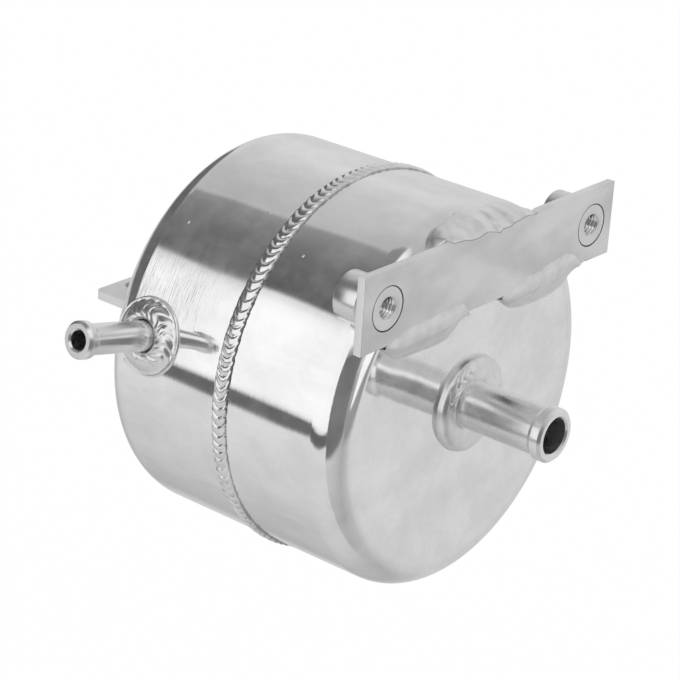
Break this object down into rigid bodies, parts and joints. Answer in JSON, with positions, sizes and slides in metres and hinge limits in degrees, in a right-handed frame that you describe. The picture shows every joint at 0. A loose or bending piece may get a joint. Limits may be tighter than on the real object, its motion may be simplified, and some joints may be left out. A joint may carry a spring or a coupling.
{
  "type": "coolant expansion tank",
  "caption": "Round welded aluminium coolant expansion tank with a threaded mounting strip, a feed spigot, a vent spigot, a rear tab and a screw pressure cap.",
  "frame": {"origin": "midway between the two threaded bosses, on the front face of the mounting strip, which bolts up to the car", "axes": "+X along the tank's own axis and the boss threads, out of the feed end; +Y along the mounting strip; +Z from the tank's axis towards the strip, up in the pose of the picture"},
  "size_m": [0.1578, 0.1615, 0.1328],
  "materials": {
    "polished_shell": "machine polished, nearly mirror bright, with faint drag lines",
    "weld": "bright rippled weld metal, satin between the ripples",
    "turned_aluminium": "turned and polished",
    "flat_bar": "mill-finish flat bar, satin grey, lightly scuffed",
    "cap_plastic": "fine-grained moulded black",
    "plug_plastic": "smooth moulded black",
    "seal_rubber": "smooth black rubber",
    "spring_steel": "bright drawn and pressed stainless steel",
    "brass_plate": "pressed and turned brass"
  },
  "bodies": {
    "tank": {"outlet_cup": "polished_shell", "filler_cup": "polished_shell", "seam_bead": "weld", "feed_spigot": "turned_aluminium", "feed_weld": "weld", "vent_spigot": "turned_aluminium", "vent_weld": "weld", "mounting_strip": "flat_bar", "boss_left": "turned_aluminium", "boss_right": "turned_aluminium", "boss_weld_left": "weld", "boss_weld_right": "weld", "strip_weld_lower_left": "weld", "strip_weld_lower_right": "weld", "strip_weld_upper": "weld", "rear_tab": "flat_bar", "tab_weld_upper": "weld", "tab_weld_lower": "weld", "filler_neck": "turned_aluminium", "neck_weld": "weld"},
    "cap_core": {"cap_plug": "plug_plastic", "cap_seal_inner": "seal_rubber", "cap_seal_outer": "seal_rubber", "spring_retainer": "spring_steel", "relief_spring": "spring_steel"},
    "cap_cover": {"cap_shell": "cap_plastic"},
    "relief_valve": {"valve_plate": "brass_plate", "valve_seal": "seal_rubber", "vacuum_spring": "spring_steel"},
    "vacuum_valve_body": {"vacuum_valve": "brass_plate"}
  },
  "joints": [
    {"name": "cap_lift", "type": "slide", "parent": "tank", "child": "cap_core", "axis": [-1, 0, 0], "range_m": [0, 0.01501]},
    {"name": "cap_turn", "type": "hinge", "parent": "cap_core", "child": "cap_cover", "pos_m": [-0.122, 0.006, -0.0529], "axis": [-1, 0, 0], "range_deg": [0, 900]},
    {"name": "relief_lift", "type": "slide", "parent": "cap_core", "child": "relief_valve", "axis": [-1, 0, 0], "range_m": [0, 0.002], "stiffness_N_per_m": 5000, "springref_m": -0.0025, "deforming": ["relief_spring"]},
    {"name": "vacuum_open", "type": "slide", "parent": "relief_valve", "child": "vacuum_valve_body", "axis": [1, 0, 0], "range_m": [0, 0.0015], "stiffness_N_per_m": 250, "springref_m": -0.002, "deforming": ["vacuum_spring"]}
  ],
  "couplings": [
    {"joint": "cap_lift", "follows": "cap_turn", "m_per_rad": 0.00095493}
  ]
}
